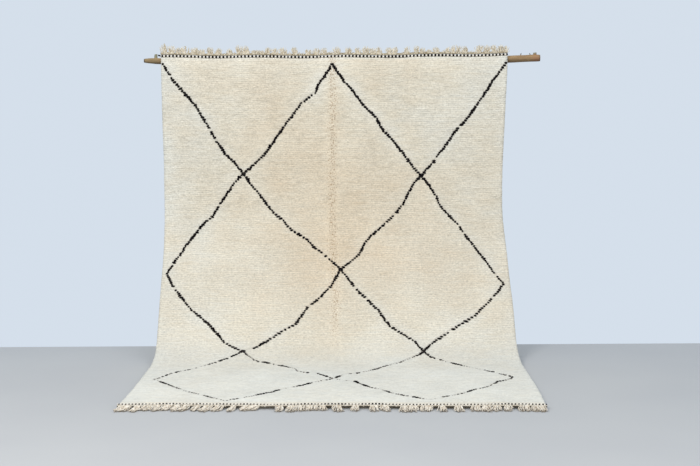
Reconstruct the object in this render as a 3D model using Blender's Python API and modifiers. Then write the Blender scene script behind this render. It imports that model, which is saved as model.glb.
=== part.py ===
"""Hand-knotted pile rug hung by its top edge from a rough wooden pole.

The rug falls down a wall, bends out near the floor and lies on it towards the viewer.
Frame: +Z up, +X to the right as seen from the pile side, the wall at the back (+Y), the floor at Z = 0.
"""
import math
import random
from collections import namedtuple

import bmesh
import bpy
from mathutils import Vector

# ---- driving sizes, in metres ----
NAME = "pile_rug_on_pole"
WALL_Y = 0.8646           # plane of the wall behind the pole
PILE_THICK = 0.018        # ground weave and pile together
FIT_GAP = 0.001           # clearance between pieces sewn edge to edge
COLUMNS = 32              # cells across the rug
ROWS = 44                 # cells along the rug
SLOPE_STEP = 0.01         # length of run used to find which way the cloth faces

FRONT_SKEW = 0.055        # the right end of the front edge lies this much further out than the left
TOP_SAG = 0.006           # the top edge dips this much between its ends
TOP_RIPPLE = 0.0025       # small waves of the top edge
FRONT_RIPPLE = 0.004      # small waves of the front edge
EDGE_FADE = 0.16          # the end waves die out over this length of rug

CREASE_AT = 0.49          # place of the lengthwise fold mark, as a share of the width
CREASE_HIGH = 0.004       # how far the fold mark stands up
CREASE_WIDE = 0.030       # its half width
CREASE_END = 0.64         # it fades out at this share of the length

CORD_RADIUS = 0.0055      # twined cord at each end of the pile
BAND_LONG = 0.010         # flat-woven band between the cord and the tufts, along the warp
BAND_THICK = 0.009
BAND_START = 2 * FIT_GAP + 2 * CORD_RADIUS
FRONT_LIFT = 0.0085       # the front cord and band ride this much above mid-thickness, on their tufts

TUFTS = 38                # knotted warp tufts along each end
NECK_WIDE = 0.017         # width of a tuft where it leaves the band
TOP_SEED = 11
BOTTOM_SEED = 23

# The rug's run from the pole to its front edge. out: its back face from the wall; up: above the floor;
# left and right: its two edges.
Station = namedtuple("Station", "out up left right")
RUN = (
    Station(0.058, 1.700, -1.045, 0.955),
    Station(0.057, 1.620, -1.045, 0.955),
    Station(0.036, 1.450, -1.047, 0.950),
    Station(0.016, 1.275, -1.048, 0.945),
    Station(0.008, 1.100, -1.046, 0.938),
    Station(0.010, 0.925, -1.046, 0.934),
    Station(0.026, 0.755, -1.045, 0.937),
    Station(0.094, 0.572, -1.045, 0.952),
    Station(0.191, 0.412, -1.048, 0.960),
    Station(0.296, 0.257, -1.049, 0.969),
    Station(0.420, 0.100, -1.047, 0.970),
    Station(0.500, 0.044, -1.045, 0.971),
    Station(0.610, 0.010, -1.047, 0.973),
    Station(0.720, 0.000, -1.047, 0.973),
    Station(1.100, 0.000, -1.048, 0.972),
    Station(1.300, 0.000, -1.050, 0.970),
    Station(1.490, 0.000, -1.057, 0.963),
    Station(1.6125, 0.000, -1.062, 0.958),
)

# The pole, a crooked tapering branch. x: along it; out: its axis from the wall; up: above the floor.
Ring = namedtuple("Ring", "x out up radius")
POLE = (
    Ring(-1.147, 0.0310, 1.682, 0.0105),
    Ring(-1.138, 0.0310, 1.682, 0.0125),
    Ring(-1.100, 0.0310, 1.681, 0.0160),
    Ring(-1.045, 0.0312, 1.679, 0.0180),
    Ring(-0.800, 0.0320, 1.675, 0.0183),
    Ring(-0.450, 0.0310, 1.671, 0.0190),
    Ring(-0.100, 0.0325, 1.670, 0.0187),
    Ring(0.250, 0.0315, 1.672, 0.0194),
    Ring(0.600, 0.0325, 1.674, 0.0192),
    Ring(0.880, 0.0320, 1.677, 0.0200),
    Ring(0.980, 0.0320, 1.680, 0.0202),
    Ring(1.060, 0.0320, 1.683, 0.0196),
    Ring(1.105, 0.0320, 1.685, 0.0202),
    Ring(1.138, 0.0320, 1.685, 0.0196),
    Ring(1.147, 0.0320, 1.685, 0.0184),
)

# Sawn side shoots on the pole's upper side. foot: radius at the bark; tip: radius at the saw cut.
Stub = namedtuple("Stub", "x up foot tip long lean")
STUBS = (
    Stub(-1.080, 1.695, 0.0105, 0.0085, 0.048, -0.10),
    Stub(1.117, 1.699, 0.0120, 0.0095, 0.036, 0.05),
)

# Sections of a tuft from its neck to its tip. reach: distance from the cord; wide, thick: its full
# width and depth there; lean: share of the tuft's own lean.
Section = namedtuple("Section", "reach wide thick lean")
STANDING_TUFT = (
    Section(0.026, 0.022, 0.014, 0.3),
    Section(0.044, 0.036, 0.022, 0.7),
    Section(0.059, 0.026, 0.014, 1.0),
)
LYING_TUFT = (
    Section(0.025, 0.024, 0.020, 0.3),
    Section(0.050, 0.037, 0.034, 0.7),
    Section(0.076, 0.028, 0.026, 1.0),
)
DROOP_RATE = 0.5          # how steeply the lying tufts fall from the band to the floor


# ---- scene and materials ----
def empty_scene():
    """Remove whatever the scene holds."""
    for obj in list(bpy.data.objects):
        bpy.data.objects.remove(obj, do_unlink=True)


def collection(name):
    """A new collection in the scene."""
    group = bpy.data.collections.new(name)
    bpy.context.scene.collection.children.link(group)
    return group


def material(name, colour, roughness):
    """A plain Principled material."""
    mat = bpy.data.materials.new(name)
    mat.use_nodes = True
    shader = mat.node_tree.nodes["Principled BSDF"]
    shader.inputs["Base Color"].default_value = (*colour, 1.0)
    shader.inputs["Roughness"].default_value = roughness
    shader.inputs["Metallic"].default_value = 0.0
    return mat


def mesh_object(name, bm, mat, group):
    """Turn a bmesh into an object of one collection, with its faces pointing out."""
    bmesh.ops.recalc_face_normals(bm, faces=bm.faces[:])
    mesh = bpy.data.meshes.new(name)
    bm.to_mesh(mesh)
    bm.free()
    mesh.materials.append(mat)
    obj = bpy.data.objects.new(name, mesh)
    group.objects.link(obj)
    return obj


# ---- the surface the rug follows ----
def catmull(a, b, c, d, t):
    """A smooth value between b and c."""
    return 0.5 * (2 * b + (c - a) * t + (2 * a - 5 * b + 4 * c - d) * t ** 2
                  + (3 * b - a - 3 * c + d) * t ** 3)


def smooth_run(steps=24):
    """The stations joined by a smooth curve, as many points, each with its length from the top."""
    points = []
    last = len(RUN) - 1
    for i in range(last):
        around = [RUN[max(0, min(last, i + k))] for k in (-1, 0, 1, 2)]
        for step in range(steps + (i == last - 1)):
            values = [catmull(*column, step / steps) for column in zip(*around)]
            values[1] = max(0.0, values[1])
            points.append(Station(*values))
    lengths = [0.0]
    for before, after in zip(points, points[1:]):
        lengths.append(lengths[-1] + math.hypot(after.out - before.out, after.up - before.up))
    return points, lengths


POINTS, LENGTHS = smooth_run()
RUG_LONG = LENGTHS[-1]
RUG_WIDE = RUN[0].right - RUN[0].left
TOUCH_DOWN = next(station.out for station in RUN if station.up == 0.0)


def station_at(along):
    """The rug's section at a length from its top edge."""
    i = 1
    while i < len(LENGTHS) - 1 and LENGTHS[i] < along:
        i += 1
    share = (along - LENGTHS[i - 1]) / (LENGTHS[i] - LENGTHS[i - 1])
    pairs = zip(POINTS[i - 1], POINTS[i])
    return Station(*(a + (b - a) * share for a, b in pairs))


def column_share(index):
    """Share of the width at a column: the columns stand closer near the fold mark."""
    even = index / COLUMNS
    return even + 0.5 * math.sin(2 * math.pi * even) / (2 * math.pi)


def top_wave(share):
    """Height of the top edge above its plain level."""
    sag = 4 * share * (1 - share)
    return TOP_RIPPLE * math.sin(25 * share + 0.8) - TOP_SAG * sag


def front_wave(share):
    """How far the front edge lies out beyond its straight line."""
    return FRONT_RIPPLE * (math.sin(17 * share + 2.0) + 0.5 * math.sin(39 * share))


def fade(distance, length):
    """One at the start, falling smoothly to nothing."""
    near = max(0.0, 1.0 - distance / length)
    return near * near * (3 - 2 * near)


def back_point(share, along):
    """A point of the rug's back face."""
    here = station_at(along)
    x = here.left + (here.right - here.left) * share
    lift = top_wave(share) * fade(along, EDGE_FADE)
    lying = max(0.0, (here.out - TOUCH_DOWN) / (RUN[-1].out - TOUCH_DOWN))
    skew = FRONT_SKEW * (share - 0.5) * lying
    ripple = front_wave(share) * fade(RUG_LONG - along, EDGE_FADE)
    return Vector((x, WALL_Y - here.out - skew - ripple, here.up + lift))


def crease_lift(share, along):
    """Height of the lengthwise fold mark."""
    across = (share - CREASE_AT) * RUG_WIDE / CREASE_WIDE
    running = 1.0 - fade(max(0.0, CREASE_END - along / RUG_LONG), 0.10)
    return CREASE_HIGH * math.exp(-across * across) * running


# ---- pieces ----
def build_rug(group, mat):
    """The one-piece cloth: a grid laid on the run, thickened towards the pile side."""
    bm = bmesh.new()
    bmesh.ops.create_grid(bm, x_segments=COLUMNS, y_segments=ROWS, size=0.5)
    for vert in bm.verts:
        share = column_share(round((vert.co.x + 0.5) * COLUMNS))
        along = (0.5 - vert.co.y) * RUG_LONG
        place = back_point(share, along)
        before = back_point(share, max(0.0, along - SLOPE_STEP))
        after = back_point(share, min(RUG_LONG, along + SLOPE_STEP))
        facing = Vector((0.0, after.z - before.z, before.y - after.y)).normalized()
        vert.co = place + facing * crease_lift(share, along)
    mesh = bpy.data.meshes.new("rug")
    bm.to_mesh(mesh)
    bm.free()
    mesh.materials.append(mat)
    rug = bpy.data.objects.new("rug", mesh)
    group.objects.link(rug)
    skin = rug.modifiers.new("pile", "SOLIDIFY")
    skin.thickness = PILE_THICK
    skin.offset = 1.0
    skin.use_even_offset = True
    return rug


def top_edge(share, reach, depth):
    """A point beyond the top edge: reach up from the pile, depth towards the viewer from mid-thickness."""
    edge = back_point(share, 0.0)
    return Vector((edge.x, edge.y - PILE_THICK / 2 - depth, edge.z + reach))


def front_edge(share, reach, depth):
    """A point beyond the front edge: reach out from the pile, depth below the raised front cord."""
    edge = back_point(share, RUG_LONG)
    return Vector((edge.x, edge.y - reach, max(0.0, PILE_THICK / 2 + FRONT_LIFT - depth)))


def build_cord(name, edge, group, mat):
    """A twined cord along one end of the pile, with its points at the rug's own columns."""
    curve = bpy.data.curves.new(name, "CURVE")
    curve.dimensions = "3D"
    curve.bevel_depth = CORD_RADIUS
    curve.bevel_resolution = 2
    curve.use_fill_caps = True
    spline = curve.splines.new("POLY")
    spline.points.add(COLUMNS)
    for index, point in enumerate(spline.points):
        place = edge(column_share(index), FIT_GAP + CORD_RADIUS, 0.0)
        point.co = (*place, 1.0)
    curve.materials.append(mat)
    cord = bpy.data.objects.new(name, curve)
    group.objects.link(cord)
    return cord


def cut_cells(bm, cuts):
    """Cut a bar across at each place along it."""
    for x in cuts:
        bmesh.ops.bisect_plane(bm, geom=bm.verts[:] + bm.edges[:] + bm.faces[:],
                               plane_co=(x, 0.0, 0.0), plane_no=(1.0, 0.0, 0.0))


def draw_tuft(bm, face, middle, lean, grow, sections):
    """Draw one tuft out of the band's outer face, section by section."""
    start = BAND_START + BAND_LONG
    for section in sections:
        face = bmesh.ops.extrude_discrete_faces(bm, faces=[face])["faces"][0]
        centre = face.calc_center_median()
        for vert in face.verts:
            side = math.copysign(0.5, vert.co.x - centre.x)
            rise = math.copysign(0.5, vert.co.z - centre.z)
            vert.co.x = middle + lean * section.lean + side * section.wide
            vert.co.y = start + (section.reach - start) * grow
            vert.co.z = rise * section.thick
        bm.normal_update()


def build_comb(name, edge, sections, droop, seed, group, mat):
    """The flat-woven band and its knotted warp tufts, one comb along an end of the rug."""
    rng = random.Random(seed)
    pitch = RUG_WIDE / TUFTS
    middles = [(i + 0.5 + rng.uniform(-0.06, 0.06)) * pitch for i in range(TUFTS)]
    bm = bmesh.new()
    bmesh.ops.create_cube(bm, size=1.0)
    for vert in bm.verts:
        vert.co.x = (vert.co.x + 0.5) * RUG_WIDE
        vert.co.y = BAND_START + (vert.co.y + 0.5) * BAND_LONG
        vert.co.z *= BAND_THICK
    cut_cells(bm, [middle + side * NECK_WIDE for middle in middles for side in (-0.5, 0.5)])
    bm.normal_update()
    outer = [face for face in bm.faces if face.normal.y > 0.9]
    for middle in middles:
        face = min(outer, key=lambda f: abs(f.calc_center_median().x - middle))
        outer.remove(face)
        draw_tuft(bm, face, middle, rng.uniform(-0.004, 0.004), rng.uniform(0.86, 1.22), sections)
    for vert in bm.verts:
        beyond = max(0.0, vert.co.y - BAND_START - BAND_LONG)
        vert.co = edge(vert.co.x / RUG_WIDE, vert.co.y, vert.co.z + min(droop, beyond * DROOP_RATE))
    return mesh_object(name, bm, mat, group)


def build_pole(group, cutters, mat):
    """A crooked tapering branch with sawn ends and two sawn side shoots."""
    curve = bpy.data.curves.new("pole_line", "CURVE")
    curve.dimensions = "3D"
    curve.bevel_depth = 1.0
    curve.bevel_resolution = 6
    curve.use_fill_caps = True
    spline = curve.splines.new("POLY")
    spline.points.add(len(POLE) - 1)
    for point, ring in zip(spline.points, POLE):
        point.co = (ring.x, WALL_Y - ring.out, ring.up, 1.0)
        point.radius = ring.radius
    guide = bpy.data.objects.new("pole_line", curve)
    cutters.objects.link(guide)
    bpy.context.view_layer.update()
    evaluated = guide.evaluated_get(bpy.context.evaluated_depsgraph_get())
    bm = bmesh.new()
    bm.from_mesh(bpy.data.meshes.new_from_object(evaluated))
    bmesh.ops.remove_doubles(bm, verts=bm.verts[:], dist=0.00005)
    bpy.data.objects.remove(guide, do_unlink=True)
    pole = mesh_object("pole", bm, mat, group)
    for index, stub in enumerate(STUBS):
        join_stub(pole, index, stub, cutters, mat)
    return pole


def join_stub(pole, index, stub, cutters, mat):
    """Join one sawn side shoot to the pole."""
    bm = bmesh.new()
    bmesh.ops.create_cone(bm, cap_ends=True, segments=12, radius1=stub.foot, radius2=stub.tip,
                          depth=stub.long)
    for vert in bm.verts:
        vert.co.x += stub.lean * (vert.co.z + stub.long / 2)
        vert.co += Vector((stub.x, WALL_Y - POLE[0].out, stub.up))
    shoot = mesh_object(f"shoot_{index}", bm, mat, cutters)
    shoot.hide_render = True
    shoot.display_type = "WIRE"
    union = pole.modifiers.new(f"shoot_{index}", "BOOLEAN")
    union.operation = "UNION"
    union.solver = "EXACT"
    union.object = shoot


def main():
    """Build every piece."""
    empty_scene()
    parts = collection(NAME)
    cutters = collection("cutters")
    pile = material("pile_wool", (0.80, 0.75, 0.65), 0.95)
    twined = material("twined_wool", (0.30, 0.28, 0.26), 0.9)
    fringe = material("fringe_wool", (0.66, 0.59, 0.47), 0.95)
    wood = material("pole_wood", (0.50, 0.36, 0.23), 0.7)
    build_rug(parts, pile)
    build_cord("top_cord", top_edge, parts, twined)
    build_cord("bottom_cord", front_edge, parts, twined)
    build_comb("top_fringe", top_edge, STANDING_TUFT, 0.0, TOP_SEED, parts, fringe)
    resting = PILE_THICK / 2 + FRONT_LIFT
    build_comb("bottom_fringe", front_edge, LYING_TUFT, resting, BOTTOM_SEED, parts, fringe)
    build_pole(parts, cutters, wood)


main()
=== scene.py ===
"""Looks of a hand-knotted pile rug that hangs from a rough wooden pole and ends on the floor.

Frame: +Z up, +X to the right as seen from the pile side, the wall at the back (+Y), the floor at Z = 0.
All sizes are in metres unless a name says otherwise.
"""
import math
import random
from collections import namedtuple
from functools import lru_cache

import bmesh
import bpy
import numpy as np
from mathutils import Matrix, Vector


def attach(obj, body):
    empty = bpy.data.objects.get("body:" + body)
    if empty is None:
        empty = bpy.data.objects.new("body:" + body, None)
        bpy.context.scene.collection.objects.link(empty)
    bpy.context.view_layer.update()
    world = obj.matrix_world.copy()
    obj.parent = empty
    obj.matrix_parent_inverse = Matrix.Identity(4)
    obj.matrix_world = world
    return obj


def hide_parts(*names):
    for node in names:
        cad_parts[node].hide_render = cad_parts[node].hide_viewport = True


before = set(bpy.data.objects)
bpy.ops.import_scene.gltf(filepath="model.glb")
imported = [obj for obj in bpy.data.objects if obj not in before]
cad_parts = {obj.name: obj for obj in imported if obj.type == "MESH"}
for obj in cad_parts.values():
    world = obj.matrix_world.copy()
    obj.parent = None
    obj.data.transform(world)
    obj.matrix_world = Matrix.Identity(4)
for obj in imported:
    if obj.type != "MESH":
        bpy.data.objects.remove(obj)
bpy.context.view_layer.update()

# ---- camera and stage ----
CAMERA_PLACE = (0.041, -6.7634, 1.42)
CAMERA_TILT = 5.62        # degrees below level
CAMERA_ROLL = -0.0055     # radians
LENS_MM = 66.86
FLOOR_DROP = 0.0008       # the floor lies this far under the cloth, so the two never share a face
FLOOR_HALF_WIDE = 9.0
FLOOR_HALF_DEEP = 4.5
ROOM_COLOUR = (0.665, 0.740, 0.830, 1.0)
LIGHTS_LOOK_AT = (0.0, 0.7, 1.5)

# ---- the cloth, as it was built ----
WALL_Y = 0.8646
PILE_THICK = 0.018
GROUND_THICK = 0.004
FIT_GAP = 0.001
CORD_RADIUS = 0.0055
BAND_LONG = 0.010
BAND_START = 2 * FIT_GAP + 2 * CORD_RADIUS
CORD_REACH = FIT_GAP + CORD_RADIUS - 0.0006   # strands sit closer to the pile than a plain cord
FRONT_LIFT = 0.0085       # the front cord and band ride this much above mid-thickness, on their tufts
SLOPE_STEP = 0.01
FRONT_SKEW = 0.055
TOP_SAG = 0.006
TOP_RIPPLE = 0.0025
FRONT_RIPPLE = 0.004
EDGE_FADE = 0.16
RUG_WIDE = 2.0

CREASE_AT = 0.4965        # the lengthwise fold mark, as a share of the width
CREASE_WIDE = 0.036
CREASE_END = 0.64         # it ends at this share of the length

# out: the back face from the wall; up: above the floor; left and right: the two side edges
Station = namedtuple("Station", "out up left right")
RUN = (
    Station(0.058, 1.700, -1.045, 0.955),
    Station(0.057, 1.620, -1.045, 0.955),
    Station(0.036, 1.450, -1.047, 0.950),
    Station(0.016, 1.275, -1.048, 0.945),
    Station(0.008, 1.100, -1.046, 0.938),
    Station(0.010, 0.925, -1.046, 0.934),
    Station(0.026, 0.755, -1.045, 0.937),
    Station(0.094, 0.572, -1.045, 0.952),
    Station(0.191, 0.412, -1.048, 0.960),
    Station(0.296, 0.257, -1.049, 0.969),
    Station(0.420, 0.100, -1.047, 0.970),
    Station(0.500, 0.044, -1.045, 0.971),
    Station(0.610, 0.010, -1.047, 0.973),
    Station(0.720, 0.000, -1.047, 0.973),
    Station(1.100, 0.000, -1.048, 0.972),
    Station(1.300, 0.000, -1.050, 0.970),
    Station(1.490, 0.000, -1.057, 0.963),
    Station(1.6125, 0.000, -1.062, 0.958),
)
TOUCH_DOWN = 0.720        # from here outwards the cloth lies on the floor
HILL_COLUMNS, HILL_ROWS = 97, 89           # random surfaces repeat after these

# ---- the knotted pile ----
RIBS = 250                # rows of knots along the rug
LIP_AT = 0.80             # share of a row from its root to its lip
PILE_COLUMNS = 190
EDGE_CELL = 0.0022        # share of the width that the rounded side edge takes
GROUND_COLUMNS = 130
GROUND_ROWS = 240
PILE_LOW = 0.0138         # height of the roots over the back face
PILE_LIP = 0.0040         # how far the lips stand over the roots

# ---- the dark lines: x from the left edge, length from the top edge ----
LINES = (
    ((0.006, 0.026), (0.07, 0.13), (0.15, 0.22), (0.20, 0.28), (0.24, 0.35), (0.28, 0.41), (0.31, 0.47),
     (0.36, 0.55), (0.41, 0.60), (0.47, 0.67), (0.51, 0.73), (0.57, 0.80), (0.61, 0.86), (0.65, 0.91),
     (0.70, 0.95), (0.74, 1.00), (0.78, 1.03), (0.84, 1.07), (0.88, 1.12), (0.93, 1.16), (0.98, 1.21),
     (1.03, 1.26), (1.06, 1.30), (1.10, 1.36), (1.14, 1.41), (1.17, 1.44), (1.20, 1.48), (1.24, 1.52),
     (1.27, 1.58), (1.30, 1.62), (1.34, 1.65), (1.38, 1.68), (1.44, 1.73), (1.48, 1.81), (1.51, 1.87),
     (1.57, 1.92), (1.62, 1.96), (1.69, 2.04), (1.74, 2.11), (1.81, 2.18), (1.86, 2.26), (1.91, 2.33),
     (1.88, 2.38), (1.82, 2.43), (1.76, 2.54), (1.67, 2.63), (1.63, 2.69), (1.53, 2.77), (1.46, 2.83)),
    ((0.99, 0.028), (0.95, 0.095), (0.91, 0.15), (0.89, 0.20), (0.86, 0.22), (0.81, 0.26), (0.76, 0.33),
     (0.69, 0.42), (0.65, 0.48), (0.59, 0.56), (0.52, 0.63), (0.47, 0.67), (0.42, 0.72), (0.35, 0.82),
     (0.28, 0.93), (0.23, 0.97), (0.17, 1.05), (0.13, 1.10), (0.10, 1.16), (0.07, 1.20), (0.03, 1.28),
     (0.07, 1.36), (0.12, 1.43), (0.18, 1.51), (0.28, 1.60), (0.33, 1.66), (0.38, 1.73), (0.45, 1.78),
     (0.48, 1.80), (0.51, 1.84), (0.55, 1.90), (0.58, 1.93), (0.62, 1.94), (0.71, 2.01), (0.78, 2.08),
     (0.80, 2.15), (0.86, 2.19), (0.90, 2.20), (0.95, 2.28), (0.99, 2.34), (1.03, 2.38), (1.09, 2.39),
     (1.12, 2.45), (1.17, 2.55), (1.22, 2.59), (1.28, 2.68), (1.33, 2.73), (1.41, 2.79), (1.46, 2.83)),
    ((0.99, 0.028), (1.02, 0.085), (1.06, 0.14), (1.10, 0.18), (1.13, 0.22), (1.18, 0.28), (1.25, 0.35),
     (1.29, 0.42), (1.35, 0.48), (1.39, 0.53), (1.43, 0.58), (1.47, 0.638), (1.52, 0.686), (1.57, 0.75),
     (1.61, 0.81), (1.63, 0.86), (1.67, 0.91), (1.73, 0.98), (1.80, 1.10), (1.87, 1.21), (1.90, 1.27),
     (1.96, 1.36), (1.92, 1.41), (1.85, 1.49), (1.77, 1.57), (1.72, 1.60), (1.66, 1.64), (1.56, 1.71),
     (1.52, 1.75), (1.48, 1.81), (1.45, 1.85), (1.40, 1.89), (1.34, 1.95), (1.31, 1.97), (1.25, 2.04),
     (1.21, 2.11), (1.16, 2.16), (1.11, 2.21), (1.04, 2.23), (0.99, 2.34), (0.96, 2.37), (0.89, 2.43),
     (0.84, 2.50), (0.76, 2.57), (0.73, 2.60), (0.70, 2.65), (0.64, 2.71), (0.58, 2.78), (0.49, 2.85)),
    ((1.994, 0.026), (1.92, 0.13), (1.86, 0.23), (1.78, 0.35), (1.71, 0.43), (1.66, 0.51), (1.62, 0.56),
     (1.59, 0.61), (1.52, 0.686), (1.47, 0.74), (1.41, 0.86), (1.34, 0.94), (1.26, 1.01), (1.21, 1.05),
     (1.17, 1.10), (1.14, 1.16), (1.09, 1.21), (1.03, 1.26), (1.00, 1.32), (0.97, 1.37), (0.90, 1.45),
     (0.84, 1.50), (0.81, 1.55), (0.77, 1.61), (0.69, 1.66), (0.60, 1.73), (0.55, 1.77), (0.48, 1.80),
     (0.45, 1.83), (0.38, 1.90), (0.32, 1.96), (0.25, 2.06), (0.19, 2.13), (0.14, 2.20), (0.10, 2.30),
     (0.07, 2.35), (0.13, 2.43), (0.19, 2.52), (0.27, 2.63), (0.33, 2.69), (0.41, 2.77), (0.49, 2.85)),
)
KNOT_SIDES = 7
KNOT_RINGS = 4
KNOT_WIDE, KNOT_LONG, KNOT_TALL = 0.0078, 0.0076, 0.0046   # half sizes: across, down and out of the cloth
KNOT_STRAY = 0.0028       # how far a knot may stand off its line
SLANT_MOST = 2.5          # a flatter line makes its knots no wider
MISSED, MISSED_MORE = 0.035, 0.13          # share of knots left out; added past MISSED_FROM
MISSED_FROM = 1.90        # a length from the top edge, like the next
LYING_FROM = 1.80         # the cloth lies down from here, and its knots grow uneven
LINE_SEED = 7

# ---- the ends ----
# facing: the side of the cord, in Y and Z, where the dark strand stands out; turn: one full twist;
# plump: how far the dark strand swells there; uneven: how much that changes along the cord;
# pale: the size of the pale strand
Twist = namedtuple("Twist", "facing turn plump uneven pale")
TOP_TWIST = Twist((-1.0, 0.0), 0.0207, 1.80, 0.24, 1.74)
FRONT_TWIST = Twist((-0.62, 0.78), 0.0158, 0.80, 0.95, 1.38)
STRAND_RADIUS = 0.0030
TWIST_RADIUS = 0.0021
CORD_TUCK = 0.0007        # the twist is pulled this much further in towards the pile
CORD_STEPS = 9            # points along a strand in one full twist
CORD_SEED = 31
# from the left corner of the top cord: across, towards the wall, up; and radius
LOOSE_END_MM = ((-14, -6, 4, 4.2), (-10, -6, 3, 5.2), (-5, -6, 1, 4.8), (1, -5, -1, 2.6))
BAND_THICK = 0.0075
FRONT_BAND_THICK = 0.0090
FRONT_BAND_DROP = 0.0035
BAND_CUTS = 240
TUFT_STEPS = (0.0, 0.2, 0.45, 0.75, 1.0)   # points along a strand
TUFT_ROOT = 0.003         # strands start this far inside the band
STRAND_CURL = 0.0035
STRAND_CLEAR = 0.0022     # least height of a strand's middle
# wide and deep: size of the crown; neck: share of it where it leaves the band;
# rise: most of it that may be behind the top band or above the front one; yarn: radius of a strand
Tuft = namedtuple("Tuft", "wide deep neck rise yarn")
TOP_YARNS = 680           # strands in a tuft, for each metre of its width
FRONT_YARNS = 520
# in millimetres: x from the left edge, height over the cord, width
TOP_TUFTS_MM = (
    (18, 58, 40), (62, 48, 44), (104, 38, 46), (145, 46, 46), (195, 42, 48), (235, 36, 40),
    (289, 45, 44), (330, 40, 42), (400, 36, 44), (458, 54, 46), (492, 50, 44), (545, 28, 46),
    (585, 26, 40), (616, 42, 34), (660, 38, 40), (710, 44, 42), (775, 46, 44), (848, 34, 42),
    (895, 40, 44), (942, 40, 44), (1019, 46, 44), (1079, 40, 42), (1133, 40, 40), (1180, 46, 46),
    (1224, 38, 36), (1257, 44, 42), (1322, 42, 42), (1354, 44, 36), (1418, 44, 34), (1476, 46, 32),
    (1513, 34, 34), (1549, 26, 34), (1593, 38, 38), (1655, 36, 40), (1701, 50, 58), (1754, 46, 38),
    (1832, 48, 48), (1875, 48, 44), (1927, 46, 42), (1959, 46, 38), (1988, 40, 34),
)
TOP_HEDGE = 190           # small locks between the tufts
# thousandths of the rug's width; in millimetres, reach from the pile before stretching, and width
BOTTOM_TUFTS = (
    (9, 58, 40), (24, 60, 48), (46, 64, 52), (70, 60, 50), (94, 62, 52), (118, 58, 50),
    (140, 60, 48), (160, 56, 48), (184, 58, 48), (212, 64, 50), (237, 62, 56), (269, 66, 36),
    (303, 56, 42), (323, 52, 44), (381, 62, 44), (406, 64, 48), (424, 62, 44), (444, 60, 46),
    (461, 56, 38), (480, 58, 36), (514, 62, 56), (555, 62, 40), (598, 62, 42), (625, 60, 52),
    (667, 60, 46), (690, 60, 50), (718, 62, 60), (756, 58, 44), (796, 62, 48), (835, 66, 52),
    (859, 64, 52), (885, 60, 46), (909, 58, 40), (948, 62, 56), (974, 60, 50), (988, 56, 40),
)
FRONT_HEDGE = 150         # small locks along the front band
SWEPT_UNDER = 0.34        # tufts left of this share of the width are swept to the left
TOP_SEED = 11
BOTTOM_SEED = 23

# ---- the pole: x along it; out: its axis from the wall; up: above the floor ----
Ring = namedtuple("Ring", "x out up radius")
POLE = (
    Ring(-1.147, 0.0310, 1.682, 0.0105),
    Ring(-1.138, 0.0310, 1.682, 0.0125),
    Ring(-1.100, 0.0310, 1.681, 0.0160),
    Ring(-1.045, 0.0312, 1.679, 0.0180),
    Ring(-0.800, 0.0320, 1.675, 0.0183),
    Ring(-0.450, 0.0310, 1.671, 0.0190),
    Ring(-0.100, 0.0325, 1.670, 0.0187),
    Ring(0.250, 0.0315, 1.672, 0.0194),
    Ring(0.600, 0.0325, 1.674, 0.0192),
    Ring(0.880, 0.0320, 1.677, 0.0200),
    Ring(0.980, 0.0320, 1.680, 0.0202),
    Ring(1.060, 0.0320, 1.683, 0.0196),
    Ring(1.105, 0.0320, 1.685, 0.0202),
    Ring(1.138, 0.0320, 1.685, 0.0196),
    Ring(1.147, 0.0320, 1.685, 0.0184),
)
POLE_SIDES = 28
POLE_CUTS = 220
STUB_SIDES = 16
STUB_CUTS = 7
# foot: radius at the bark; tip: radius at the saw cut
Stub = namedtuple("Stub", "x up foot tip long lean")
STUBS = (
    Stub(-1.080, 1.695, 0.0105, 0.0085, 0.048, 0.06),
    Stub(1.117, 1.699, 0.0120, 0.0095, 0.036, 0.02),
    Stub(1.034, 1.704, 0.0034, 0.0022, 0.020, 0.20),
    Stub(1.092, 1.706, 0.0030, 0.0020, 0.016, -0.30),
)

# ---- the loops of yarn that hold the rug to the pole ----
LOOPS = 9
LOOP_FIRST, LOOP_SPAN = -0.97, 1.85        # x of the first; from it to the last
LOOP_OUT, LOOP_UP = 0.0365, 1.6735         # its middle, from the wall and above the floor
LOOP_DEEP, LOOP_TALL = 0.0255, 0.0235      # half sizes
LOOP_LEAN = 0.0035        # how far one turn goes along the pole
LOOP_STEPS, LOOP_OVERLAP = 24, 3           # points in a full turn; points past its start
YARN_RADIUS = 0.0016


# ---- shader maths ----
class Value:
    """A number, colour or vector in a material. Python's operators on it add Math nodes."""

    def __init__(self, finish, socket):
        self.finish = finish
        self.socket = socket

    def math(self, operation, first, second):
        """One Math node."""
        return self.finish.node("ShaderNodeMath", {"operation": operation}, {0: first, 1: second})

    def __add__(self, other):
        return self.math("ADD", self, other)

    def __radd__(self, other):
        return self.math("ADD", other, self)

    def __sub__(self, other):
        return self.math("SUBTRACT", self, other)

    def __rsub__(self, other):
        return self.math("SUBTRACT", other, self)

    def __mul__(self, other):
        return self.math("MULTIPLY", self, other)

    def __rmul__(self, other):
        return self.math("MULTIPLY", other, self)


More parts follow.
